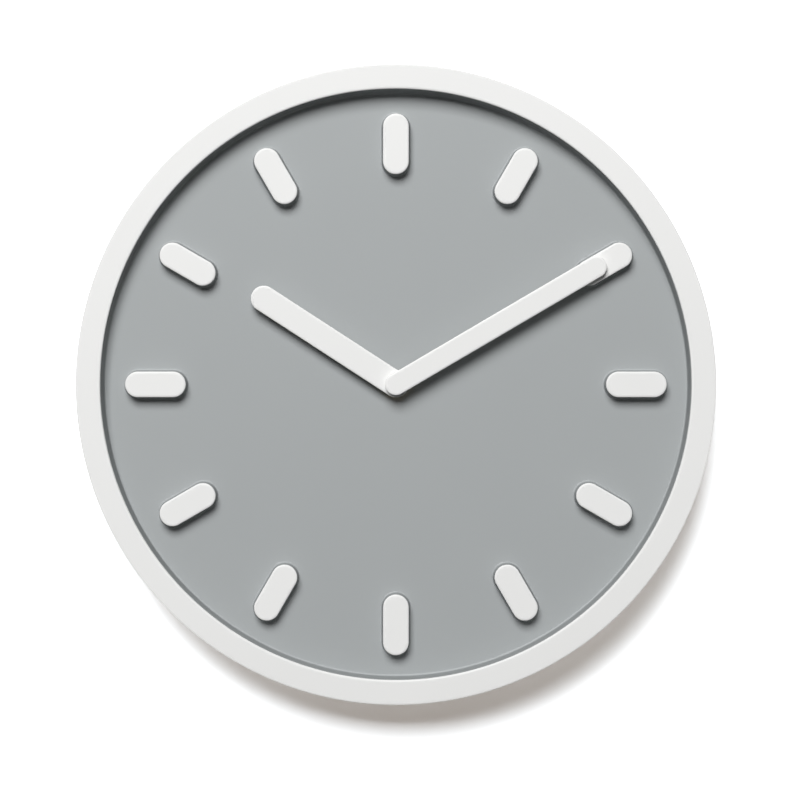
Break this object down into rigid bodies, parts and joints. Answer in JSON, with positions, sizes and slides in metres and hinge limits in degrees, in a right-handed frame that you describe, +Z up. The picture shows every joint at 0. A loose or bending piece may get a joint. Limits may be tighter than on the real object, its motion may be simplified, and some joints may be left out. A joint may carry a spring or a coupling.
{
  "type": "wall clock",
  "caption": "Round battery wall clock with a white moulded ring, a recessed grey dial, raised white bar markers and two round-ended white hands.",
  "frame": {"origin": "on the axis of the hands, in the plane of the rear rim that lies on the wall", "axes": "+X to the viewer's right, +Y into the wall, +Z up; the dial faces -Y"},
  "size_m": [0.36, 0.034, 0.36],
  "materials": {
    "white_plastic": "satin moulded",
    "grey_plastic": "satin moulded",
    "black_plastic": "fine moulded texture",
    "gear_plastic": "smooth moulded",
    "steel": "zinc plated",
    "brass": "turned",
    "rubber": "matt",
    "copper_wire": "enamelled wire",
    "motor_iron": "stamped",
    "magnet_dark": "sintered",
    "board_green": "solder mask",
    "cell_jacket": "plain jacket"
  },
  "bodies": {
    "clock_body": {"case_shell": "white_plastic", "dial_tray": "grey_plastic", "dial_screws": "steel", "hanger_screws": "steel", "hanger_plate": "steel", "centre_bush": "brass", "washer": "brass", "hex_nut": "brass", "gasket": "rubber", "movement_front": "black_plastic", "movement_back": "black_plastic", "stator": "motor_iron", "coil_core": "motor_iron", "coil_bobbin": "black_plastic", "coil_winding": "copper_wire", "circuit_board": "board_green", "quartz_crystal": "steel", "contact_positive": "steel", "contact_negative": "steel", "hour_marker_01": "white_plastic", "hour_marker_02": "white_plastic", "hour_marker_03": "white_plastic", "hour_marker_04": "white_plastic", "hour_marker_05": "white_plastic", "hour_marker_06": "white_plastic", "hour_marker_07": "white_plastic", "hour_marker_08": "white_plastic", "hour_marker_09": "white_plastic", "hour_marker_10": "white_plastic", "hour_marker_11": "white_plastic", "hour_marker_12": "white_plastic"},
    "minute_body": {"minute_hand": "white_plastic", "minute_collet": "brass", "minute_arbor": "gear_plastic", "centre_wheel": "gear_plastic"},
    "hour_body": {"hour_hand": "white_plastic", "hour_collet": "brass", "hour_wheel": "gear_plastic"},
    "setting_body": {"minute_wheel": "gear_plastic", "setting_knob": "black_plastic"},
    "third_body": {"third_wheel": "gear_plastic"},
    "second_body": {"second_wheel": "gear_plastic"},
    "intermediate_body": {"intermediate_wheel": "gear_plastic"},
    "rotor_body": {"rotor_pinion": "gear_plastic", "rotor_magnet": "magnet_dark"},
    "battery_body": {"battery": "cell_jacket"}
  },
  "joints": [
    {"name": "minute_turn", "type": "hinge", "parent": "clock_body", "child": "minute_body", "pos_m": [0, -0.012, 0], "axis": [0, 1, 0], "continuous": true},
    {"name": "hour_turn", "type": "hinge", "parent": "clock_body", "child": "hour_body", "pos_m": [0, -0.012, 0], "axis": [0, 1, 0], "continuous": true},
    {"name": "setting_turn", "type": "hinge", "parent": "clock_body", "child": "setting_body", "pos_m": [0.012, -0.012, 0], "axis": [0, 1, 0], "continuous": true},
    {"name": "third_turn", "type": "hinge", "parent": "clock_body", "child": "third_body", "pos_m": [-0.00935, -0.012, 0.0054], "axis": [0, 1, 0], "continuous": true},
    {"name": "second_turn", "type": "hinge", "parent": "clock_body", "child": "second_body", "pos_m": [-0.00645, -0.012, 0.01339], "axis": [0, 1, 0], "continuous": true},
    {"name": "intermediate_turn", "type": "hinge", "parent": "clock_body", "child": "intermediate_body", "pos_m": [0.00105, -0.012, 0.01339], "axis": [0, 1, 0], "continuous": true},
    {"name": "rotor_turn", "type": "hinge", "parent": "clock_body", "child": "rotor_body", "pos_m": [0.00795, -0.012, 0.0146], "axis": [0, 1, 0], "continuous": true},
    {"name": "battery_slide", "type": "slide", "parent": "clock_body", "child": "battery_body", "axis": [0, 1, 0], "range_m": [0, 0.03]}
  ],
  "couplings": [
    {"joint": "hour_turn", "follows": "minute_turn", "ratio": 0.083333},
    {"joint": "setting_turn", "follows": "minute_turn", "ratio": -0.33333},
    {"joint": "third_turn", "follows": "minute_turn", "ratio": -8},
    {"joint": "second_turn", "follows": "minute_turn", "ratio": 60},
    {"joint": "intermediate_turn", "follows": "minute_turn", "ratio": -300},
    {"joint": "rotor_turn", "follows": "minute_turn", "ratio": 1800}
  ]
}
